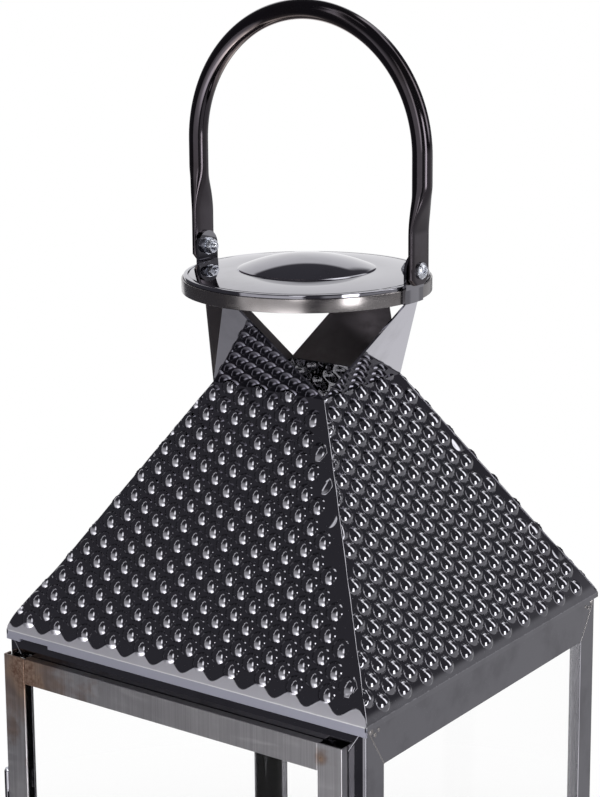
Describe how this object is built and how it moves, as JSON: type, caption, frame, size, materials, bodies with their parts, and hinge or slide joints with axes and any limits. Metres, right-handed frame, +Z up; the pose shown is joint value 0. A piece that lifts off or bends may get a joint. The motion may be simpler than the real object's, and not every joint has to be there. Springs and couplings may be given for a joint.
{
  "type": "garden lantern",
  "caption": "Square glazed lantern with a hinged door, embossed hip roof, open neck, round domed cap and a swinging bail handle.",
  "frame": {"origin": "centre of the base's underside, on the floor", "axes": "+Z up, the door faces -Y, +X to the right seen from the door side, the handle swings about X"},
  "size_m": [0.2236, 0.2364, 0.5995],
  "materials": {
    "black_nickel_steel": "dark nickel plating on polished sheet steel",
    "polished_black_nickel": "mirror polished dark nickel plating",
    "heat_tinted_steel": "finely brushed dark steel with brown heat tint at the welds",
    "zinc_steel": "darkened zinc-plated fasteners",
    "clear_glass": "clear float glass"
  },
  "bodies": {
    "frame": {"floor_pan": "black_nickel_steel", "post_front_right": "black_nickel_steel", "post_back_right": "black_nickel_steel", "post_back_left": "black_nickel_steel", "post_front_left": "black_nickel_steel", "bottom_rail_front": "black_nickel_steel", "bottom_rail_right": "black_nickel_steel", "bottom_rail_back": "black_nickel_steel", "bottom_rail_left": "black_nickel_steel", "top_rail_front": "black_nickel_steel", "top_rail_right": "black_nickel_steel", "top_rail_back": "black_nickel_steel", "top_rail_left": "black_nickel_steel", "roof_panel_front": "black_nickel_steel", "roof_panel_right": "black_nickel_steel", "roof_panel_back": "black_nickel_steel", "roof_panel_left": "black_nickel_steel", "neck_plate_front": "polished_black_nickel", "neck_plate_right": "polished_black_nickel", "neck_plate_back": "polished_black_nickel", "neck_plate_left": "polished_black_nickel", "cap_band": "polished_black_nickel", "cap_disc": "polished_black_nickel", "bracket_right": "black_nickel_steel", "bracket_left": "black_nickel_steel", "pivot_screws": "zinc_steel", "pivot_nuts": "zinc_steel", "pivot_washers": "zinc_steel", "glass_right": "clear_glass", "glass_back": "clear_glass", "glass_left": "clear_glass", "pane_clips": "black_nickel_steel", "hinge_leaves_fixed": "black_nickel_steel", "hinge_pins": "zinc_steel"},
    "door": {"hinge_leaves_door": "black_nickel_steel", "door_stile_hinge": "heat_tinted_steel", "door_stile_latch": "heat_tinted_steel", "door_rail_top": "heat_tinted_steel", "door_rail_bottom": "heat_tinted_steel", "door_glass": "clear_glass", "door_clips": "black_nickel_steel"},
    "latch": {"latch_knob": "zinc_steel", "latch_tongue": "black_nickel_steel"},
    "handle": {"handle": "black_nickel_steel"}
  },
  "joints": [
    {"name": "door_hinge", "type": "hinge", "parent": "frame", "child": "door", "pos_m": [-0.1114, -0.1108, 0.1425], "axis": [0, 0, -1], "range_deg": [0, 225]},
    {"name": "latch_turn", "type": "hinge", "parent": "door", "child": "latch", "pos_m": [0.0915, -0.114, 0.1425], "axis": [0, -1, 0], "range_deg": [0, 90]},
    {"name": "handle_swing", "type": "hinge", "parent": "frame", "child": "handle", "pos_m": [0, 0, 0.471], "axis": [1, 0, 0], "range_deg": [-144, 144]}
  ]
}
